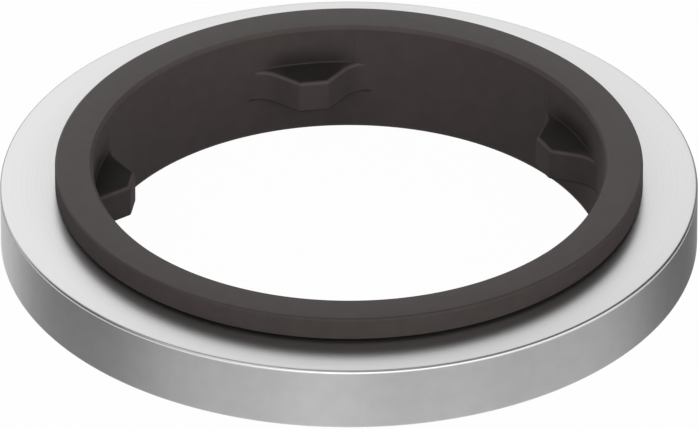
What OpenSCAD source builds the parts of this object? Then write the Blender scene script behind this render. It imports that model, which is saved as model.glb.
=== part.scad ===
// Sealing ring for a threaded stud: a metal ring with an elastomer ring moulded round its bore.
// The ring lies flat, its axis is Z, and the origin is the centre of the lower sealing face.

/* [Metal ring] */
// Width of the metal ring, from its bore to its rim
metal_w = 2; // [1:0.05:4]
// Thickness of the metal ring, which limits how far the elastomer can be squeezed
metal_t = 1.75; // [1.3:0.05:2.5]
// Round on the two edges of the rim
rim_round = 0.08; // [0.02:0.01:0.3]

/* [Elastomer ring] */
// Diameter of the hole that the stud passes through
hole_d = 13.5; // [12.9:0.1:14.1]
// Wall of elastomer between the hole and the bore of the metal ring
waist_wall = 0.45; // [0.3:0.05:0.9]
// Height that each sealing lip stands proud of the metal
lip_rise = 0.675; // [0.4:0.025:1]
// Width over which each lip is bonded to the face of the metal
lip_seat = 0.2; // [0.1:0.05:0.4]
// Width of the free edge of each lip, outside its seat
lip_edge = 0.35; // [0.2:0.05:0.5]
// Gap between the free edge of each lip and the metal
lip_gap = 0.08; // [0.04:0.01:0.15]
// Round on the outer edges of each lip
lip_round = 0.08; // [0.02:0.01:0.15]
// Bevel on the upper edge of the hole, where the stud enters
lead_in = 0.09; // [0.03:0.01:0.2]

/* [Lugs] */
// Number of lugs that grip the thread
lug_count = 5; // [3:1:8]
// Diameter of the circle that the tips of the lugs touch
lug_tip_d = 11.55; // [11:0.05:12]
// Thickness of a lug along the axis of the ring
lug_t = 0.88; // [0.6:0.02:1.3]
// Width of the flat tip of a lug
lug_tip_w = 0.65; // [0.4:0.01:1]
// Angle between the tip of a lug and its flanks
lug_flank_angle = 45; // [35:1:60]
// Radius of the hollow fillet that joins each flank to the wall of the hole
lug_fillet = 0.8; // [0.3:0.05:1]
// Round on the upper edge of a lug and on the corners of its tip
lug_round = 0.16; // [0.04:0.01:0.3]

/* [Hidden] */
$fn = 180;

hole_r = hole_d / 2;
bore_r = hole_r + waist_wall;
metal_r = bore_r + metal_w;
seat_r = bore_r + lip_seat;
lip_r = seat_r + lip_edge;
seal_h = metal_t + 2 * lip_rise;
metal_z = lip_rise;

lug_tip_r = lug_tip_d / 2;
lug_z = (seal_h - lug_t) / 2;
// Depth of a lug's root in the waist wall
lug_root = waist_wall / 2;
// Depth by which a hollow fillet runs into the wall, so that the two cross cleanly
fillet_bite = 0.002;
// A length past the far side of a whole lug, for the bodies that bound it
lug_reach = hole_r;
// Length that a cutting shape stands past what it cuts
overcut = 1;

// Direction of the left flank, from the tip of the lug to the wall
flank_way = [-cos(lug_flank_angle), sin(lug_flank_angle)];
// Direction out of the left flank, into the hole
flank_out = [-sin(lug_flank_angle), -cos(lug_flank_angle)];
// Centre of the round between the tip and the left flank
round_centre = [-lug_tip_w / 2, lug_tip_r + lug_round];
// The centre of the left fillet lies on a line beside the flank, one fillet radius out of it
fillet_start = round_centre + (lug_round + lug_fillet) * flank_out;
fillet_from_axis = hole_r - lug_fillet + fillet_bite;
fillet_along = fillet_start * flank_way;
flank_length = sqrt(pow(fillet_along, 2) - fillet_start * fillet_start + pow(fillet_from_axis, 2))
    - fillet_along;
fillet_centre = fillet_start + flank_length * flank_way;
// Angles from the fillet's centre to where it leaves the flank and to where it meets the wall
fillet_from = 90 - lug_flank_angle;
fillet_to = atan2(fillet_centre.y, fillet_centre.x);

// Takes a corner of a section down to a round; quarter 0 is an upper right corner, 1 an upper left, and so on
module corner_cut(corner, quarter, radius) {
    translate(corner)
        rotate(90 * quarter)
            translate([-radius, -radius])
                difference() {
                    square(2 * radius);
                    circle(radius);
                }
}

// Half section of the metal ring
module metal_section() {
    difference() {
        translate([bore_r, metal_z])
            square([metal_w, metal_t]);
        corner_cut([metal_r, metal_z + metal_t], 0, rim_round);
        corner_cut([metal_r, metal_z], 3, rim_round);
    }
}

// Half section of the elastomer ring: a block with a groove that holds the metal and frees the lips' edges
module seal_section() {
    difference() {
        translate([hole_r, 0])
            square([lip_r - hole_r, seal_h]);
        translate([bore_r, metal_z])
            square([lip_r - bore_r + overcut, metal_t]);
        translate([seat_r, metal_z - lip_gap])
            square([lip_r - seat_r + overcut, metal_t + 2 * lip_gap]);
        corner_cut([lip_r, seal_h], 0, lip_round);
        corner_cut([lip_r, 0], 3, lip_round);
        translate([hole_r, seal_h])
            rotate(45)
                square(sqrt(2) * lead_in, center = true);
    }
}

// Section across a lug's side: its face stands at x = 0 and its upper edge is round
module side_section() {
    difference() {
        square([lug_reach, lug_t]);
        corner_cut([0, lug_t], 1, lug_round);
    }
}

// Section of the rounded corner between the tip and a flank, from the centre of its round outwards
module corner_section() {
    difference() {
        square([lug_round, lug_t]);
        corner_cut([lug_round, lug_t], 0, lug_round);
    }
}

// All that lies behind the left flank, its hollow fillet and the rounded corner at the tip
module left_side() {
    translate(round_centre)
        rotate(-90 - lug_flank_angle) {
            rotate_extrude(angle = lug_flank_angle)
                corner_section();
            translate([lug_round + lug_fillet, -flank_length])
                rotate(180) {
                    rotate_extrude(angle = fillet_to - fillet_from)
                        translate([lug_fillet, 0])
                            side_section();
                    rotate([90, 0, 0])
                        linear_extrude(height = flank_length)
                            translate([lug_fillet, 0])
                                side_section();
                }
        }
}

// All that lies behind the tip, from its left round to the right
module tip_side() {
    translate([-lug_tip_w / 2, lug_tip_r, 0])
        rotate([90, 0, 90])
            linear_extrude(height = lug_reach)
                side_section();
}

// All that lies behind the tip and what is to its left
module lug_side() {
    tip_side();
    left_side();
}

// One lug, which points at the axis from +Y and has its root in the wall of the hole
module lug() {
    intersection() {
        cylinder(r = hole_r + lug_root, h = lug_t);
        lug_side();
        mirror([1, 0, 0])
            lug_side();
    }
}

module metal_ring() {
    color("silver")
        rotate_extrude()
            metal_section();
}

module seal_ring() {
    color("dimgray")
        union() {
            rotate_extrude()
                seal_section();
            for (i = [0:lug_count - 1])
                rotate(i * 360 / lug_count)
                    translate([0, 0, lug_z])
                        lug();
        }
}

metal_ring();
seal_ring();
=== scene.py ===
"""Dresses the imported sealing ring: fine meshes, their finishes, and a small studio."""

import math

import bmesh
import bpy
from bpy.props import FloatProperty, FloatVectorProperty, IntProperty, PointerProperty
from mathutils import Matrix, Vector


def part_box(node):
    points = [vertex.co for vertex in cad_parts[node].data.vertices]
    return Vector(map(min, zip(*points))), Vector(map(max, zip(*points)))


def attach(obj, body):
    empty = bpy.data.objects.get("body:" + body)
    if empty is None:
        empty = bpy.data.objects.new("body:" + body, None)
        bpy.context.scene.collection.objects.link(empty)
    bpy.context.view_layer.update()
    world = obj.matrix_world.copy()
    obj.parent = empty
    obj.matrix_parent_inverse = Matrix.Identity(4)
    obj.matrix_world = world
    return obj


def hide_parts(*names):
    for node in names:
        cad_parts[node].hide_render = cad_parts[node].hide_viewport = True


bl_info = {
    "name": "Sealing Ring",
    "version": (1, 0, 0),
    "blender": (4, 5, 0),
    "location": "View3D > Sidebar > Sealing Ring",
    "description": "Builds a metal ring with a moulded elastomer seal, and a studio around it",
    "category": "Add Mesh",
}

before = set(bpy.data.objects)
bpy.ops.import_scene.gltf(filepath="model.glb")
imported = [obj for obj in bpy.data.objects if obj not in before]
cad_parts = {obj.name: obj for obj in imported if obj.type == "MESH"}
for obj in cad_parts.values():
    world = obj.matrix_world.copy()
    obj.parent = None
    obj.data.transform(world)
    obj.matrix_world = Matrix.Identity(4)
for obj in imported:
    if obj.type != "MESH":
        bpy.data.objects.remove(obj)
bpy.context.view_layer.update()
METAL_LOW, METAL_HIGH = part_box("metal_ring")
SEAL_LOW, SEAL_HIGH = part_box("seal_ring")

MM = 0.001
# Vertices closer than this are one
MERGE = 1e-6
# Slack when vertices are picked by their place
NEAR = 2e-6
# Steps of each small round and fillet
ROUND_STEPS = 6
EDGE_STEPS = 5
FILLET_STEPS = 14
ROOT_STEPS = 3
# How far a lug's fillet runs into the wall, so that the two cross cleanly
BITE = 0.004 * MM
# How far a lug's sides, and the middle of its root, reach on behind its fillets into the wall
SIDE_REACH = 0.25 * MM
ROOT_REACH = 0.4 * MM

# Turning marks and patches of skin to the metre, and the detail of both
TURNING_SCALE = 20000
SKIN_SCALE = 2500
NOISE_DETAIL = 2
# Ranges of the noise that are spread over the full variation
TURNING_SPAN = (0.2, 0.8)
SKIN_SPAN = (0.3, 0.7)
BUMP_STRENGTH = 0.5
ELASTOMER_IOR = 1.45

# Depth of the painted highlight line below a lug's top, as a share of its edge's round
CREST_SHARE = 0.35
# Distances inside the wall between which the painted highlight line starts
CREST_START = (0.001 * MM, 0.004 * MM)
# Angles from a lug's middle between which the painted shadow line at its foot ends
FOOT_END = (0.235, 0.26)
# Depths below a lug's top between which its painted shade sets in
TOP_DARK = (0.005 * MM, 0.03 * MM)
# Height above a lug over which the painted shade in the corner fades, and the angles between which
# it ends
CORNER_HEIGHT = 0.7 * MM
CORNER_END = (0.08, 0.23)
# Middle and half width of the light line at a lug's root, which the painted shade leaves out, as
# shares of the root fillet
ROOT_LINE = (0.7, 0.6)
# Width over which the painted light on the bevel starts and ends
BEVEL_FADE = 0.01 * MM

FLOOR_RADIUS = 3
FLOOR_STEPS = 64
FLOOR_SHADE = 0.9
# Name, azimuth and elevation in degrees, width and height in metres, and the level at which it
# lights a white card
LAMPS = [
    ("left_softbox", -62, 58, 0.45, 0.16, 0.13),
]
LAMP_DISTANCE = 0.5
# Soft bright parts of the sky: azimuth and elevation of the middle, angles at which the level
# starts to fall and ends, all in degrees, and the strength in the middle
SKY_PARTS = [
    (-175, 11, 24, 52, 1.6),
    (-39, 8, 14, 46, 1.3),
    (3, 12, 8, 40, 1.9),
    (57, 8, 14, 48, 1.4),
    (0, 90, 4, 32, 0.5),
]


class MetalSettings(bpy.types.PropertyGroup):
    """Sizes and finish of the metal ring"""

    bore_radius: FloatProperty(
        name="Bore Radius",
        description="Radius of the bore that the elastomer lines",
        default=7.2 * MM,
        unit="LENGTH",
    )
    edge_round: FloatProperty(
        name="Edge Round",
        description="Round on the two edges of the rim",
        default=0.08 * MM,
        unit="LENGTH",
    )
    tint: FloatVectorProperty(
        name="Tint",
        description="Colour of the aluminium",
        default=(0.65, 0.65, 0.65),
        subtype="COLOR",
        min=0,
        max=1,
    )
    roughness: FloatProperty(
        name="Roughness",
        description="How far the satin finish of the faces blurs what it mirrors",
        default=0.33,
        min=0,
        max=1,
        subtype="FACTOR",
    )
    # Painted shade: the faces are darkened within this radius, beside the lip
    painted_shade_radius: FloatProperty(
        name="Dull Radius",
        description="Radius within which the faces are duller, beside the lip",
        default=8.9 * MM,
        unit="LENGTH",
    )
    # Share of the brightness that the painted shade leaves beside the lip
    painted_shade_share: FloatProperty(
        name="Dull Share",
        description="Share of the brightness that is left beside the lip",
        default=0.94,
        min=0,
        max=1,
        subtype="FACTOR",
    )
    streaks: FloatProperty(
        name="Streaks",
        description="How much the turning marks vary the brightness",
        default=0.02,
        min=0,
        max=1,
        subtype="FACTOR",
    )
    grain: FloatProperty(
        name="Grain",
        description="Depth of the turning marks",
        default=0.0001 * MM,
        unit="LENGTH",
    )
    rim_tint: FloatVectorProperty(
        name="Rim Tint",
        description="Colour of the rim",
        default=(0.62, 0.62, 0.62),
        subtype="COLOR",
        min=0,
        max=1,
    )
    rim_roughness: FloatProperty(
        name="Rim Roughness",
        description="How far the rim blurs what it mirrors",
        default=0.56,
        min=0,
        max=1,
        subtype="FACTOR",
    )
    rim_brushed: FloatProperty(
        name="Rim Brushed",
        description="How far the turning marks of the rim stretch a reflection across them",
        default=1.0,
        min=0,
        max=1,
        subtype="FACTOR",
    )
    edge_tint: FloatProperty(
        name="Edge Tint",
        description="Brightness of the metal where it is seen at a low angle",
        default=0.1,
        min=0,
        max=1,
        subtype="FACTOR",
    )


class SealSettings(bpy.types.PropertyGroup):
    """Sizes and finish of the elastomer ring"""

    hole_radius: FloatProperty(
        name="Hole Radius",
        description="Radius of the hole that the stud passes through",
        default=6.75 * MM,
        unit="LENGTH",
    )
    seat_radius: FloatProperty(
        name="Seat Radius",
        description="Radius to which each lip is bonded to the metal",
        default=7.4 * MM,
        unit="LENGTH",
    )
    lip_gap: FloatProperty(
        name="Lip Gap",
        description="Gap between the free edge of each lip and the metal",
        default=0.08 * MM,
        unit="LENGTH",
    )
    lip_round: FloatProperty(
        name="Lip Round",
        description="Round on the outer edges of each lip",
        default=0.08 * MM,
        unit="LENGTH",
    )
    lead_in: FloatProperty(
        name="Lead-in",
        description="Bevel on the upper edge of the hole, where the stud enters",
        default=0.09 * MM,
        unit="LENGTH",
    )
    tint: FloatVectorProperty(
        name="Tint",
        description="Colour of the elastomer",
        default=(0.055, 0.045, 0.043),
        subtype="COLOR",
        min=0,
        max=1,
    )
    roughness: FloatProperty(
        name="Roughness",
        description="How matt the moulded skin is",
        default=0.5,
        min=0,
        max=1,
        subtype="FACTOR",
    )
    wall_roughness: FloatProperty(
        name="Wall Roughness",
        description="How matt the wall of the hole, the lugs and the outer sides of the lips are",
        default=0.85,
        min=0,
        max=1,
        subtype="FACTOR",
    )
    # Painted light: brightens the bevel at the hole
    lead_in_painted_light: FloatProperty(
        name="Lead-in Worn",
        description="Brightness of the rubbed bevel at the hole, as a share of the skin's",
        default=1.35,
        min=0,
    )
    shine: FloatProperty(
        name="Shine",
        description="Strength of the skin's reflections, where 0.5 is that of plain plastic",
        default=0.3,
        min=0,
        max=1,
        subtype="FACTOR",
    )
    mottle: FloatProperty(
        name="Mottle",
        description="How much the skin varies in brightness",
        default=0.05,
        min=0,
        max=1,
        subtype="FACTOR",
    )
    grain: FloatProperty(
        name="Grain",
        description="Depth of the skin's grain",
        default=0.001 * MM,
        unit="LENGTH",
    )


class LugSettings(bpy.types.PropertyGroup):
    """Sizes of the lugs in the hole, and the painted light and shade on and beside them"""

    count: IntProperty(
        name="Count",
        description="Number of lugs",
        default=5,
        min=1,
    )
    tip_radius: FloatProperty(
        name="Tip Radius",
        description="Distance from the axis to the middle of a lug's tip",
        default=5.775 * MM,
        unit="LENGTH",
    )
    tip_width: FloatProperty(
        name="Tip Width",
        description="Width of the flat tip",
        default=0.65 * MM,
        unit="LENGTH",
    )
    thickness: FloatProperty(
        name="Thickness",
        description="Thickness of a lug along the axis",
        default=0.88 * MM,
        unit="LENGTH",
    )
    corner_round: FloatProperty(
        name="Corner Round",
        description="Round between the tip and each flank",
        default=0.16 * MM,
        unit="LENGTH",
    )
    flank_angle: FloatProperty(
        name="Flank Angle",
        description="Angle between the tip and each flank",
        default=math.radians(45),
        subtype="ANGLE",
    )
    fillet: FloatProperty(
        name="Fillet",
        description="Radius of the hollow fillet between each flank and the wall",
        default=0.8 * MM,
        unit="LENGTH",
    )
    edge_round: FloatProperty(
        name="Edge Round",
        description="Round on the upper edge of a lug",
        default=0.16 * MM,
        unit="LENGTH",
    )
    root_fillet: FloatProperty(
        name="Root Fillet",
        description="Small fillet where the top of a lug meets the wall",
        default=0.04 * MM,
        unit="LENGTH",
    )
    # Painted highlight: a light line along a lug's upper edge
    painted_highlight: FloatProperty(
        name="Worn",
        description="Brightness of the line along a lug's upper edge, as a share of the skin's",
        default=1.75,
        min=0,
    )
    painted_highlight_width: FloatProperty(
        name="Worn Width",
        description="Half the width of that line",
        default=0.05 * MM,
        unit="LENGTH",
    )
    # Painted shadow: a dark line along a lug's lower edge
    line: FloatProperty(
        name="Line",
        description="Brightness of the line along a lug's lower edge, as a share of the skin's",
        default=0.3,
        min=0,
    )
    line_width: FloatProperty(
        name="Line Width",
        description="Half the width of that line",
        default=0.055 * MM,
        unit="LENGTH",
    )
    # Painted shade on a lug's top and in the corner above it
    corner: FloatProperty(
        name="Corner",
        description="Brightness of a lug's top and the corner above it, as a share of the skin's",
        default=0.42,
        min=0,
    )


class StudioSettings(bpy.types.PropertyGroup):
    """Camera, lamps and floor"""

    azimuth: FloatProperty(
        name="Azimuth",
        description="Camera's turn about the ring's axis",
        default=math.radians(-9.25),
        subtype="ANGLE",
    )
    elevation: FloatProperty(
        name="Elevation",
        description="Camera's height angle above the ring's plane",
        default=math.radians(32.27),
        subtype="ANGLE",
    )
    distance: FloatProperty(
        name="Distance",
        description="Camera's distance from the centre of the ring's upper metal face",
        default=392.8 * MM,
        unit="LENGTH",
    )
    drop: FloatProperty(
        name="Drop",
        description="How far below that centre the camera is aimed",
        default=0.845 * MM,
        unit="LENGTH",
    )
    lens: FloatProperty(
        name="Lens",
        description="Focal length in millimetres on a 36 mm sensor",
        default=768.2,
    )
    floor_white: FloatProperty(
        name="Floor White",
        description="Share of the floor that is plain white where the camera and mirrors see it",
        default=0.98,
        min=0,
        max=1,
        subtype="FACTOR",
    )
    sky_dark: FloatProperty(
        name="Sky Dark",
        description="Strength of the sky between its soft bright parts",
        default=0.03,
        min=0,
    )


class RingSettings(bpy.types.PropertyGroup):
    """All settings of the scene"""

    metal: PointerProperty(type=MetalSettings)
    seal: PointerProperty(type=SealSettings)
    lugs: PointerProperty(type=LugSettings)
    studio: PointerProperty(type=StudioSettings)
    steps: IntProperty(
        name="Steps",
        description="Steps of every full turn",
        default=360,
        min=24,
    )


def settings():
    """The settings of the scene that is open"""
    return bpy.context.scene.sealing_ring


def edit_mesh():
    """The mesh in edit mode, for picking by place"""
    return bmesh.from_edit_mesh(bpy.context.active_object.data)


def pick(kind, test):
    """Selects only the vertices, edges or faces whose middle passes the test"""
    bpy.ops.mesh.select_mode(type=kind)
    bpy.ops.mesh.select_all(action="DESELECT")
    mesh = edit_mesh()
    parts = {"VERT": mesh.verts, "EDGE": mesh.edges, "FACE": mesh.faces}[kind]
    found = 0
    for part in parts:
        if kind == "VERT":
            middle = part.co
        elif kind == "EDGE":
            middle = (part.verts[0].co + part.verts[1].co) / 2
        else:
            middle = part.calc_center_median()
        if test(middle):
            part.select_set(True)
            found += 1
    mesh.select_flush_mode()
    bmesh.update_edit_mesh(bpy.context.active_object.data)
    if not found:
        raise RuntimeError("nothing was found to shape")


def start_line(name, start):
    """A new object in edit mode that holds one vertex, ready to be drawn out"""
    bpy.ops.object.select_all(action="DESELECT")
    bpy.ops.mesh.primitive_plane_add(size=MM, location=(0, 0, 0))
    piece = bpy.context.active_object
    piece.name = name
    bpy.ops.object.mode_set(mode="EDIT")
    bpy.ops.mesh.select_mode(type="VERT")
    bpy.ops.mesh.select_all(action="SELECT")
    bpy.ops.mesh.merge(type="CENTER")
    bpy.ops.transform.translate(value=start)
    return piece


def draw_line(points):
    """Extrudes the selected vertex from point to point, and closes the outline"""
    place = Vector(points[0])
    for point in points[1:]:
        step = Vector(point) - place
        bpy.ops.mesh.extrude_region_move(TRANSFORM_OT_translate={"value": step})
        place = Vector(point)
    first, last = Vector(points[0]), place
    pick("VERT", lambda co: min((co - first).length, (co - last).length) < NEAR)
    bpy.ops.mesh.edge_face_add()


def round_corners(corners, size, segments):
    """Bevels the outline's corners that stand at the given places"""
    pick("VERT", lambda co: min((co - Vector(c)).length for c in corners) < NEAR)
    bpy.ops.mesh.bevel(
        offset=size, segments=segments, affect="VERTICES", clamp_overlap=False
    )


def arc(centre, radius, first, last, steps):
    """Points along an arc, with both ends"""
    turns = [first + (last - first) * i / steps for i in range(steps + 1)]
    return [
        (centre.x + radius * math.cos(turn), centre.y + radius * math.sin(turn))
        for turn in turns
    ]


def spin_outline(steps):
    """Turns the whole outline once round the axis and closes the shell"""
    bpy.ops.mesh.select_all(action="SELECT")
    bpy.ops.mesh.spin(
        steps=steps,
        angle=math.tau,
        center=(0, 0, 0),
        axis=(0, 0, 1),
        use_auto_merge=True,
    )
    bpy.ops.mesh.select_all(action="SELECT")
    bpy.ops.mesh.remove_doubles(threshold=MERGE)
    bpy.ops.mesh.normals_make_consistent(inside=False)


def finish_piece(piece, material, node):
    """Gives a finished mesh its shading, finish, body and place in the part"""
    if bpy.context.object.mode == "EDIT":
        bpy.ops.object.mode_set(mode="OBJECT")
    bpy.ops.object.select_all(action="DESELECT")
    piece.select_set(True)
    bpy.context.view_layer.objects.active = piece
    bpy.ops.object.transform_apply(location=True, rotation=True, scale=True)
    bpy.ops.object.shade_smooth_by_angle(angle=math.radians(30))
    # Keeps the flat faces flat beside their small rounds
    bpy.ops.object.modifier_add(type="WEIGHTED_NORMAL")
    weighted = piece.modifiers[-1]
    weighted.keep_sharp = True
    bpy.ops.object.modifier_apply(modifier=weighted.name)
    piece.data.materials.clear()
    piece.data.materials.append(material)
    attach(piece, "root")
    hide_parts(node)


def new_material(name):
    """An empty material and its node tree"""
    material = bpy.data.materials.new(name)
    material.use_nodes = True
    material.node_tree.nodes.clear()
    return material, material.node_tree


def add_node(tree, kind, **values):
    """Adds a shader node and sets its options, and its inputs by name"""
    node = tree.nodes.new("ShaderNode" + kind)
    for key, value in values.items():
        if hasattr(node, key):
            setattr(node, key, value)
        else:
            node.inputs[key.replace("_", " ")].default_value = value
    return node


def join(tree, start, end):
    """Links the named output of one node to the named input of another"""
    tree.links.new(start[0].outputs[start[1]], end[0].inputs[end[1]])


def radius_node(tree, place):
    """The distance from the ring's axis"""
    flat = add_node(tree, "VectorMath", operation="MULTIPLY")
    flat.inputs[1].default_value = (1, 1, 0)
    join(tree, (place, "Object"), (flat, 0))
    radius = add_node(tree, "VectorMath", operation="LENGTH")
    join(tree, (flat, "Vector"), (radius, 0))
    return radius


def ramp(tree, source, low, high, to_low, to_high):
    """A smooth change of a value from one level to another between two places"""
    node = add_node(tree, "MapRange", interpolation_type="SMOOTHSTEP")
    node.inputs["From Min"].default_value = low
    node.inputs["From Max"].default_value = high
    node.inputs["To Min"].default_value = to_low
    node.inputs["To Max"].default_value = to_high
    tree.links.new(source, node.inputs["Value"])
    return node


def vary(tree, noise, span, amount):
    """A share of the brightness that follows the noise, by the amount above and below 1"""
    return ramp(tree, noise.outputs["Fac"], *span, 1 - amount, 1 + amount)


def tint_by(tree, tint, share):
    """The tint at a share of its brightness that changes over the surface"""
    shade = add_node(tree, "VectorMath", operation="SCALE")
    shade.inputs[0].default_value = tint
    tree.links.new(share, shade.inputs["Scale"])
    return shade


def add_grain(tree, pattern, surface, depth):
    """Uses a pattern as a fine bump"""
    bump = add_node(tree, "Bump", Strength=BUMP_STRENGTH, Distance=depth)
    join(tree, pattern, (bump, "Height"))
    join(tree, (bump, "Normal"), (surface, "Normal"))


def finish_material(tree, surface):
    """Sends the surface to the output"""
    out = add_node(tree, "OutputMaterial")
    join(tree, (surface, "BSDF"), (out, "Surface"))


def face_material():
    """Satin aluminium with faint turning rings, and painted shade darkening it beside the lip"""
    look = settings().metal
    material, tree = new_material("satin_aluminium")
    place = add_node(tree, "TexCoord")
    radius = radius_node(tree, place)
    rings = add_node(
        tree, "TexNoise", noise_dimensions="1D", Scale=TURNING_SCALE, Detail=NOISE_DETAIL
    )
    join(tree, (radius, "Value"), (rings, "W"))
    streaks = vary(tree, rings, TURNING_SPAN, look.streaks)
    # Painted shade: the faces darken towards the lip
    painted_lip_shade = ramp(
        tree, radius.outputs["Value"], SEAL_HIGH.x, look.painted_shade_radius, look.painted_shade_share, 1
    )
    share = add_node(tree, "Math", operation="MULTIPLY")
    join(tree, (streaks, "Result"), (share, 0))
    join(tree, (painted_lip_shade, "Result"), (share, 1))
    shade = tint_by(tree, look.tint, share.outputs["Value"])
    surface = add_node(tree, "BsdfPrincipled", Metallic=1, Roughness=look.roughness)
    surface.inputs["Specular Tint"].default_value = (*[look.edge_tint] * 3, 1)
    join(tree, (shade, "Vector"), (surface, "Base Color"))
    add_grain(tree, (rings, "Fac"), surface, look.grain)
    finish_material(tree, surface)
    return material


def rim_material():
    """Aluminium turned on the rim: its marks run round and stretch reflections across them"""
    look = settings().metal
    material, tree = new_material("turned_aluminium")
    place = add_node(tree, "TexCoord")
    patches = add_node(tree, "TexNoise", Scale=SKIN_SCALE, Detail=NOISE_DETAIL)
    join(tree, (place, "Object"), (patches, "Vector"))
    streaks = vary(tree, patches, SKIN_SPAN, look.streaks)
    shade = tint_by(tree, look.rim_tint, streaks.outputs["Result"])
    surface = add_node(
        tree,
        "BsdfPrincipled",
        Metallic=1,
        Roughness=look.rim_roughness,
        Anisotropic=look.rim_brushed,
        Anisotropic_Rotation=0.25,
    )
    surface.inputs["Specular Tint"].default_value = (*[look.edge_tint] * 3, 1)
    way = add_node(tree, "Tangent", direction_type="RADIAL", axis="Z")
    join(tree, (way, "Tangent"), (surface, "Tangent"))
    join(tree, (shade, "Vector"), (surface, "Base Color"))
    finish_material(tree, surface)
    return material


def band(tree, source, middle, half):
    """1 where the source is at the middle, falling to 0 at half the band's width on both sides"""
    offset = add_node(tree, "Math", operation="SUBTRACT")
    tree.links.new(source, offset.inputs[0])
    offset.inputs[1].default_value = middle
    away = add_node(tree, "Math", operation="ABSOLUTE")
    join(tree, (offset, "Value"), (away, 0))
    return ramp(tree, away.outputs["Value"], 0, half, 1, 0)


def times(tree, first, second):
    """Product of two values"""
    product = add_node(tree, "Math", operation="MULTIPLY")
    tree.links.new(first, product.inputs[0])
    tree.links.new(second, product.inputs[1])
    return product.outputs["Value"]


def tone_where(tree, mask, level):
    """1 outside the mask and the level inside it"""
    tone = add_node(tree, "MapRange")
    tree.links.new(mask, tone.inputs["Value"])
    tone.inputs["To Min"].default_value = 1
    tone.inputs["To Max"].default_value = level
    return tone.outputs["Result"]


def elastomer_material():
    """Matt, nearly black moulded elastomer, with a painted highlight along the lugs' upper edges,
    a painted shadow line under them, painted shade on and above their tops, and painted light on
    the bevel at the hole
    """
    look, lugs = settings().seal, settings().lugs
    material, tree = new_material("black_elastomer")
    place = add_node(tree, "TexCoord")
    skin = add_node(tree, "TexNoise", Scale=SKIN_SCALE, Detail=NOISE_DETAIL)
    join(tree, (place, "Object"), (skin, "Vector"))
    mottle = vary(tree, skin, SKIN_SPAN, look.mottle)
    axes = add_node(tree, "SeparateXYZ")
    join(tree, (place, "Object"), (axes, "Vector"))
    radius = radius_node(tree, place)
    # Angle from the middle of the nearest lug
    angle = add_node(tree, "Math", operation="ARCTAN2")
    join(tree, (axes, "X"), (angle, 0))
    join(tree, (axes, "Y"), (angle, 1))
    turn = add_node(tree, "Math", operation="PINGPONG")
    join(tree, (angle, "Value"), (turn, 0))
    turn.inputs[1].default_value = math.pi / lugs.count
    middle = (SEAL_LOW.z + SEAL_HIGH.z) / 2
    ledge = middle + lugs.thickness / 2
    # Painted highlight: a light line along the rounded upper edge of each lug
    crest = ledge - lugs.edge_round * CREST_SHARE
    near_wall, far_wall = [look.hole_radius - depth for depth in CREST_START]
    inside = ramp(tree, radius.outputs["Value"], far_wall, near_wall, 1, 0)
    edge = band(tree, axes.outputs["Z"], crest, lugs.painted_highlight_width)
    painted_highlight = times(tree, edge.outputs["Result"], inside.outputs["Result"])
    # Painted shadow: a dark line along the lower edge of each lug, ending beside it
    beside = ramp(tree, turn.outputs["Value"], *FOOT_END, 1, 0)
    foot = band(tree, axes.outputs["Z"], middle - lugs.thickness / 2, lugs.line_width)
    line = times(tree, foot.outputs["Result"], beside.outputs["Result"])
    # Painted shade darkens the top of each lug and the corner above it, apart from the light line
    # at the root
    shallow, deep = [ledge - depth for depth in TOP_DARK]
    above = ramp(tree, axes.outputs["Z"], deep, shallow, 0, 1)
    near = ramp(tree, axes.outputs["Z"], ledge, ledge + CORNER_HEIGHT, 1, 0)
    behind = ramp(tree, turn.outputs["Value"], *CORNER_END, 1, 0)
    rise, half = [lugs.root_fillet * share for share in ROOT_LINE]
    root = band(tree, axes.outputs["Z"], ledge + rise, half)
    corner = times(tree, above.outputs["Result"], near.outputs["Result"])
    corner = times(tree, corner, behind.outputs["Result"])
    corner = times(tree, corner, tone_where(tree, root.outputs["Result"], 0))
    # Painted light brightens the bevel where the stud enters
    entry = look.hole_radius + look.lead_in
    bevel_low = SEAL_HIGH.z - look.lead_in
    high = ramp(tree, axes.outputs["Z"], bevel_low - BEVEL_FADE, bevel_low, 0, 1)
    within = ramp(tree, radius.outputs["Value"], entry, entry + BEVEL_FADE, 1, 0)
    bevel = times(tree, high.outputs["Result"], within.outputs["Result"])
    # The painted highlight, painted shadow line, painted shade and painted light on the bevel
    # scale the skin's tint, with its random mottle
    share = times(tree, tone_where(tree, painted_highlight, lugs.painted_highlight), tone_where(tree, line, lugs.line))
    share = times(tree, share, tone_where(tree, corner, lugs.corner))
    share = times(tree, share, tone_where(tree, bevel, look.lead_in_painted_light))
    share = times(tree, share, mottle.outputs["Result"])
    shade = tint_by(tree, look.tint, share)
    # Walls, lugs and the lips' outer sides are more matt than the sealing faces
    offset = add_node(tree, "Math", operation="SUBTRACT")
    join(tree, (axes, "Z"), (offset, 0))
    offset.inputs[1].default_value = middle
    reach = add_node(tree, "Math", operation="ABSOLUTE")
    join(tree, (offset, "Value"), (reach, 0))
    rough = ramp(
        tree,
        reach.outputs["Value"],
        middle - look.lip_round,
        middle - look.lip_round / 8,
        look.wall_roughness,
        look.roughness,
    )
    surface = add_node(tree, "BsdfPrincipled", Metallic=0, IOR=ELASTOMER_IOR)
    surface.inputs["Specular IOR Level"].default_value = look.shine
    join(tree, (rough, "Result"), (surface, "Roughness"))
    join(tree, (shade, "Vector"), (surface, "Base Color"))
    add_grain(tree, (skin, "Fac"), surface, look.grain)
    finish_material(tree, surface)
    return material


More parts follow.
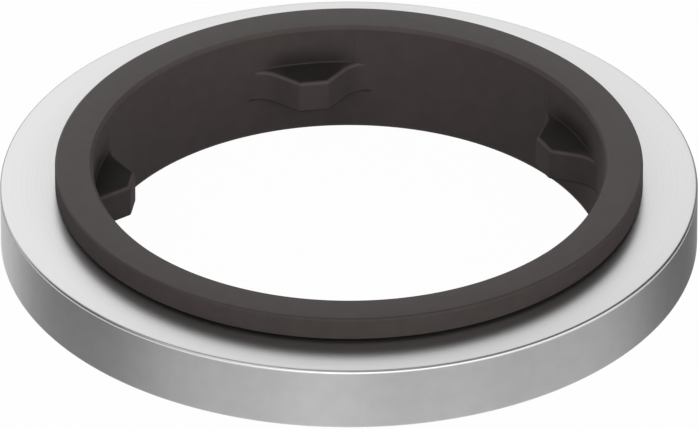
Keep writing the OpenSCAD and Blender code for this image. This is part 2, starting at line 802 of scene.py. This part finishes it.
class MESH_OT_metal_ring(bpy.types.Operator):
    """Turns the metal ring from its section"""

    bl_idname = "mesh.sealing_metal_ring"
    bl_label = "Metal Ring"

    def execute(self, context):
        look = settings().metal
        low, high = METAL_LOW.z, METAL_HIGH.z
        rim = METAL_HIGH.x
        outline = [
            (look.bore_radius, 0, low),
            (rim, 0, low),
            (rim, 0, high),
            (look.bore_radius, 0, high),
        ]
        piece = start_line("metal_ring_fine", outline[0])
        draw_line(outline)
        round_corners(outline[1:3], look.edge_round, ROUND_STEPS)
        spin_outline(settings().steps)
        finish_piece(piece, face_material(), "metal_ring")
        piece.data.materials.append(rim_material())
        bpy.ops.object.mode_set(mode="EDIT")
        inside, crest = rim - look.edge_round, high - look.edge_round
        pick("FACE", lambda co: co.xy.length > inside and co.z < crest)
        piece.active_material_index = 1
        bpy.ops.object.material_slot_assign()
        bpy.ops.object.mode_set(mode="OBJECT")
        return {"FINISHED"}


class MESH_OT_seal_ring(bpy.types.Operator):
    """Turns the elastomer ring from its section and joins the lugs to its wall"""

    bl_idname = "mesh.sealing_seal_ring"
    bl_label = "Seal Ring"

    def execute(self, context):
        look = settings().seal
        low, high = METAL_LOW.z, METAL_HIGH.z
        bore, seat = settings().metal.bore_radius, look.seat_radius
        inner, outer = look.hole_radius, SEAL_HIGH.x
        top = SEAL_HIGH.z
        outline = [
            (inner, 0, 0),
            (outer, 0, 0),
            (outer, 0, low - look.lip_gap),
            (seat, 0, low - look.lip_gap),
            (seat, 0, low),
            (bore, 0, low),
            (bore, 0, high),
            (seat, 0, high),
            (seat, 0, high + look.lip_gap),
            (outer, 0, high + look.lip_gap),
            (outer, 0, top),
            (inner, 0, top),
        ]
        piece = start_line("seal_ring_fine", outline[0])
        draw_line(outline)
        round_corners([outline[1], outline[10]], look.lip_round, ROUND_STEPS)
        round_corners([outline[11]], look.lead_in, 1)
        spin_outline(settings().steps)
        bpy.ops.object.mode_set(mode="OBJECT")
        bpy.ops.mesh.sealing_lug()
        lug = bpy.context.active_object
        count = settings().lugs.count
        lugs = [lug]
        for i in range(1, count):
            bpy.ops.object.select_all(action="DESELECT")
            lug.select_set(True)
            context.view_layer.objects.active = lug
            bpy.ops.object.duplicate(linked=False)
            copy = bpy.context.active_object
            bpy.ops.transform.rotate(
                value=-math.tau * i / count, orient_axis="Z", center_override=(0, 0, 0)
            )
            lugs.append(copy)
        bpy.ops.object.select_all(action="DESELECT")
        for copy in lugs:
            copy.select_set(True)
        context.view_layer.objects.active = lug
        bpy.ops.object.join()
        bpy.ops.object.transform_apply(location=True, rotation=True, scale=True)
        bpy.ops.object.select_all(action="DESELECT")
        piece.select_set(True)
        context.view_layer.objects.active = piece
        bpy.ops.object.modifier_add(type="BOOLEAN")
        union = piece.modifiers[-1]
        union.operation = "UNION"
        union.solver = "EXACT"
        union.object = lug
        bpy.ops.object.modifier_apply(modifier=union.name)
        bpy.data.objects.remove(lug)
        bpy.ops.object.mode_set(mode="EDIT")
        bpy.ops.mesh.select_all(action="SELECT")
        bpy.ops.mesh.remove_doubles(threshold=MERGE)
        # The small fillet where the top of each lug meets the wall
        ledge = (SEAL_LOW.z + SEAL_HIGH.z + settings().lugs.thickness) / 2
        pick(
            "EDGE",
            lambda co: abs(co.z - ledge) < NEAR
            and abs(co.xy.length - inner) < 2 * NEAR,
        )
        root = settings().lugs.root_fillet
        bpy.ops.mesh.bevel(offset=root, segments=ROOT_STEPS, clamp_overlap=False)
        # Two cuts round the wall, so that the shading of the lugs' ends stays beside them
        foot = ledge - settings().lugs.thickness
        for cut in (ledge + 1.5 * root, foot - root):
            bpy.ops.mesh.select_all(action="SELECT")
            bpy.ops.mesh.bisect(plane_co=(0, 0, cut), plane_no=(0, 0, 1))
        bpy.ops.mesh.select_all(action="SELECT")
        bpy.ops.mesh.normals_make_consistent(inside=False)
        finish_piece(piece, elastomer_material(), "seal_ring")
        return {"FINISHED"}


class MESH_OT_lug(bpy.types.Operator):
    """Draws the outline of one lug, raises it and rounds its upper edge"""

    bl_idname = "mesh.sealing_lug"
    bl_label = "Lug"

    def execute(self, context):
        lugs = settings().lugs
        wall = settings().seal.hole_radius
        middle = (SEAL_LOW.z + SEAL_HIGH.z) / 2
        low, high = middle - lugs.thickness / 2, middle + lugs.thickness / 2
        fillet, corner = lugs.fillet, lugs.corner_round
        way = Vector((-math.cos(lugs.flank_angle), math.sin(lugs.flank_angle)))
        out = Vector((-way.y, way.x))
        down = -math.pi / 2
        middle_of_round = Vector((-lugs.tip_width / 2, lugs.tip_radius + corner))
        # The fillet's centre lies beside the flank, one radius out, where its arc runs just
        # into the wall
        start = middle_of_round + (corner + fillet) * out
        along = start.dot(way)
        reach = wall - fillet + BITE
        length = math.sqrt(along**2 - start.length_squared + reach**2) - along
        centre = start + length * way
        first = math.pi / 2 - lugs.flank_angle
        last = math.atan2(centre.y, centre.x)
        left = arc(middle_of_round, corner, down, down - lugs.flank_angle, ROUND_STEPS)
        left += arc(centre, fillet, first, last, FILLET_STEPS)
        left.append((left[-1][0], left[-1][1] + SIDE_REACH))
        right = [(-x, y) for x, y in reversed(left)]
        root = [(0, wall + ROOT_REACH)]
        outline = [(x, y, low) for x, y in left + root + right]
        piece = start_line("lug", outline[0])
        draw_line(outline)
        bpy.ops.mesh.select_all(action="SELECT")
        bpy.ops.mesh.edge_face_add()
        bpy.ops.mesh.extrude_region_move(
            TRANSFORM_OT_translate={"value": (0, 0, lugs.thickness)}
        )
        bpy.ops.mesh.select_all(action="SELECT")
        bpy.ops.mesh.normals_make_consistent(inside=False)
        pick(
            "EDGE",
            lambda co: abs(co.z - high) < NEAR and co.xy.length < wall + 2 * BITE,
        )
        bpy.ops.mesh.bevel(
            offset=lugs.edge_round, segments=EDGE_STEPS, clamp_overlap=False
        )
        bpy.ops.object.mode_set(mode="OBJECT")
        return {"FINISHED"}


def white_for_eyes(tree, shaded, strength, share):
    """Mixes plain white into a shader where the camera, mirrors or glass see it"""
    white = add_node(tree, "Emission", Strength=strength)
    path = add_node(tree, "LightPath")
    mirror = add_node(tree, "Math", operation="MAXIMUM")
    join(tree, (path, "Is Camera Ray"), (mirror, 0))
    join(tree, (path, "Is Glossy Ray"), (mirror, 1))
    glass = add_node(tree, "Math", operation="MAXIMUM")
    join(tree, (mirror, "Value"), (glass, 0))
    join(tree, (path, "Is Transmission Ray"), (glass, 1))
    amount = add_node(tree, "Math", operation="MULTIPLY")
    amount.inputs[1].default_value = share
    join(tree, (glass, "Value"), (amount, 0))
    mix = add_node(tree, "MixShader")
    join(tree, (amount, "Value"), (mix, "Fac"))
    tree.links.new(shaded, mix.inputs[1])
    tree.links.new(white.outputs["Emission"], mix.inputs[2])
    return mix


def direction(turn, rise):
    """Unit vector towards a place around the ring; turn 0 is the front, a quarter the right"""
    return Vector(
        (math.sin(turn) * math.cos(rise), -math.cos(turn) * math.cos(rise), math.sin(rise))
    )


class OBJECT_OT_studio(bpy.types.Operator):
    """Adds the floor, the lamps, the surrounding light and the camera"""

    bl_idname = "object.sealing_studio"
    bl_label = "Studio"

    def execute(self, context):
        studio = settings().studio
        bpy.ops.object.select_all(action="DESELECT")
        bpy.ops.mesh.primitive_circle_add(
            vertices=FLOOR_STEPS, radius=FLOOR_RADIUS, fill_type="NGON", location=(0, 0, -NEAR)
        )
        floor = context.active_object
        floor.name = "floor"
        material, tree = new_material("floor_white")
        shaded = add_node(tree, "BsdfDiffuse", Color=(*[FLOOR_SHADE] * 3, 1))
        mix = white_for_eyes(tree, shaded.outputs["BSDF"], 1, studio.floor_white)
        out = add_node(tree, "OutputMaterial")
        join(tree, (mix, "Shader"), (out, "Surface"))
        floor.data.materials.append(material)

        for name, azimuth, elevation, width, height, level in LAMPS:
            way = direction(math.radians(azimuth), math.radians(elevation))
            bpy.ops.object.light_add(type="AREA", location=way * LAMP_DISTANCE)
            lamp = context.active_object
            lamp.name = name
            lamp.rotation_euler = way.to_track_quat("Z", "Y").to_euler()
            lamp.data.shape = "RECTANGLE"
            lamp.data.size = width
            lamp.data.size_y = height
            lamp.data.energy = level * (math.pi * LAMP_DISTANCE) ** 2

        world = bpy.data.worlds.new("studio_light")
        context.scene.world = world
        world.use_nodes = True
        tree = world.node_tree
        tree.nodes.clear()
        place = add_node(tree, "TexCoord")
        level = add_node(tree, "Value")
        level.outputs["Value"].default_value = studio.sky_dark
        for azimuth, elevation, inner, outer, strength in SKY_PARTS:
            across = add_node(tree, "VectorMath", operation="DOT_PRODUCT")
            join(tree, (place, "Generated"), (across, 0))
            across.inputs[1].default_value = direction(
                math.radians(azimuth), math.radians(elevation)
            )
            low, high = math.cos(math.radians(outer)), math.cos(math.radians(inner))
            part = ramp(tree, across.outputs["Value"], low, high, 0, strength)
            total = add_node(tree, "Math", operation="ADD")
            join(tree, (level, "Value"), (total, 0))
            join(tree, (part, "Result"), (total, 1))
            level = total
        sky = add_node(tree, "Background", Color=(1, 1, 1, 1))
        join(tree, (level, "Value"), (sky, "Strength"))
        out = add_node(tree, "OutputWorld")
        join(tree, (sky, "Background"), (out, "Surface"))

        rise, turn = studio.elevation, studio.azimuth
        back = direction(turn, rise)
        up = direction(turn, rise + math.pi / 2)
        centre = Vector((0, 0, METAL_HIGH.z))
        bpy.ops.object.camera_add(
            location=centre + back * studio.distance - up * studio.drop,
            rotation=(math.pi / 2 - rise, 0, turn),
        )
        camera = context.active_object
        camera.data.sensor_width = 36
        camera.data.lens = studio.lens
        camera.data.clip_start = 0.01
        camera.data.clip_end = 10
        context.scene.camera = camera
        context.scene.view_settings.view_transform = "Standard"
        return {"FINISHED"}


class VIEW3D_PT_sealing_ring(bpy.types.Panel):
    """Lists the sizes and the steps that build the ring"""

    bl_label = "Sealing Ring"
    bl_space_type = "VIEW_3D"
    bl_region_type = "UI"
    bl_category = "Sealing Ring"

    def draw(self, context):
        ring = context.scene.sealing_ring
        for group in (ring.metal, ring.seal, ring.lugs, ring.studio):
            box = self.layout.box()
            for key in group.__annotations__:
                box.prop(group, key)
        self.layout.prop(ring, "steps")
        self.layout.operator("mesh.sealing_metal_ring")
        self.layout.operator("mesh.sealing_seal_ring")
        self.layout.operator("mesh.sealing_lug")
        self.layout.operator("object.sealing_studio")


CLASSES = [
    MetalSettings,
    SealSettings,
    LugSettings,
    StudioSettings,
    RingSettings,
    MESH_OT_metal_ring,
    MESH_OT_seal_ring,
    MESH_OT_lug,
    OBJECT_OT_studio,
    VIEW3D_PT_sealing_ring,
]


def register():
    for kind in CLASSES:
        bpy.utils.register_class(kind)
    bpy.types.Scene.sealing_ring = PointerProperty(type=RingSettings)


def unregister():
    del bpy.types.Scene.sealing_ring
    for kind in reversed(CLASSES):
        bpy.utils.unregister_class(kind)


def main():
    register()
    bpy.ops.mesh.sealing_metal_ring()
    bpy.ops.mesh.sealing_seal_ring()
    bpy.ops.object.sealing_studio()


if __name__ == "__main__":
    main()
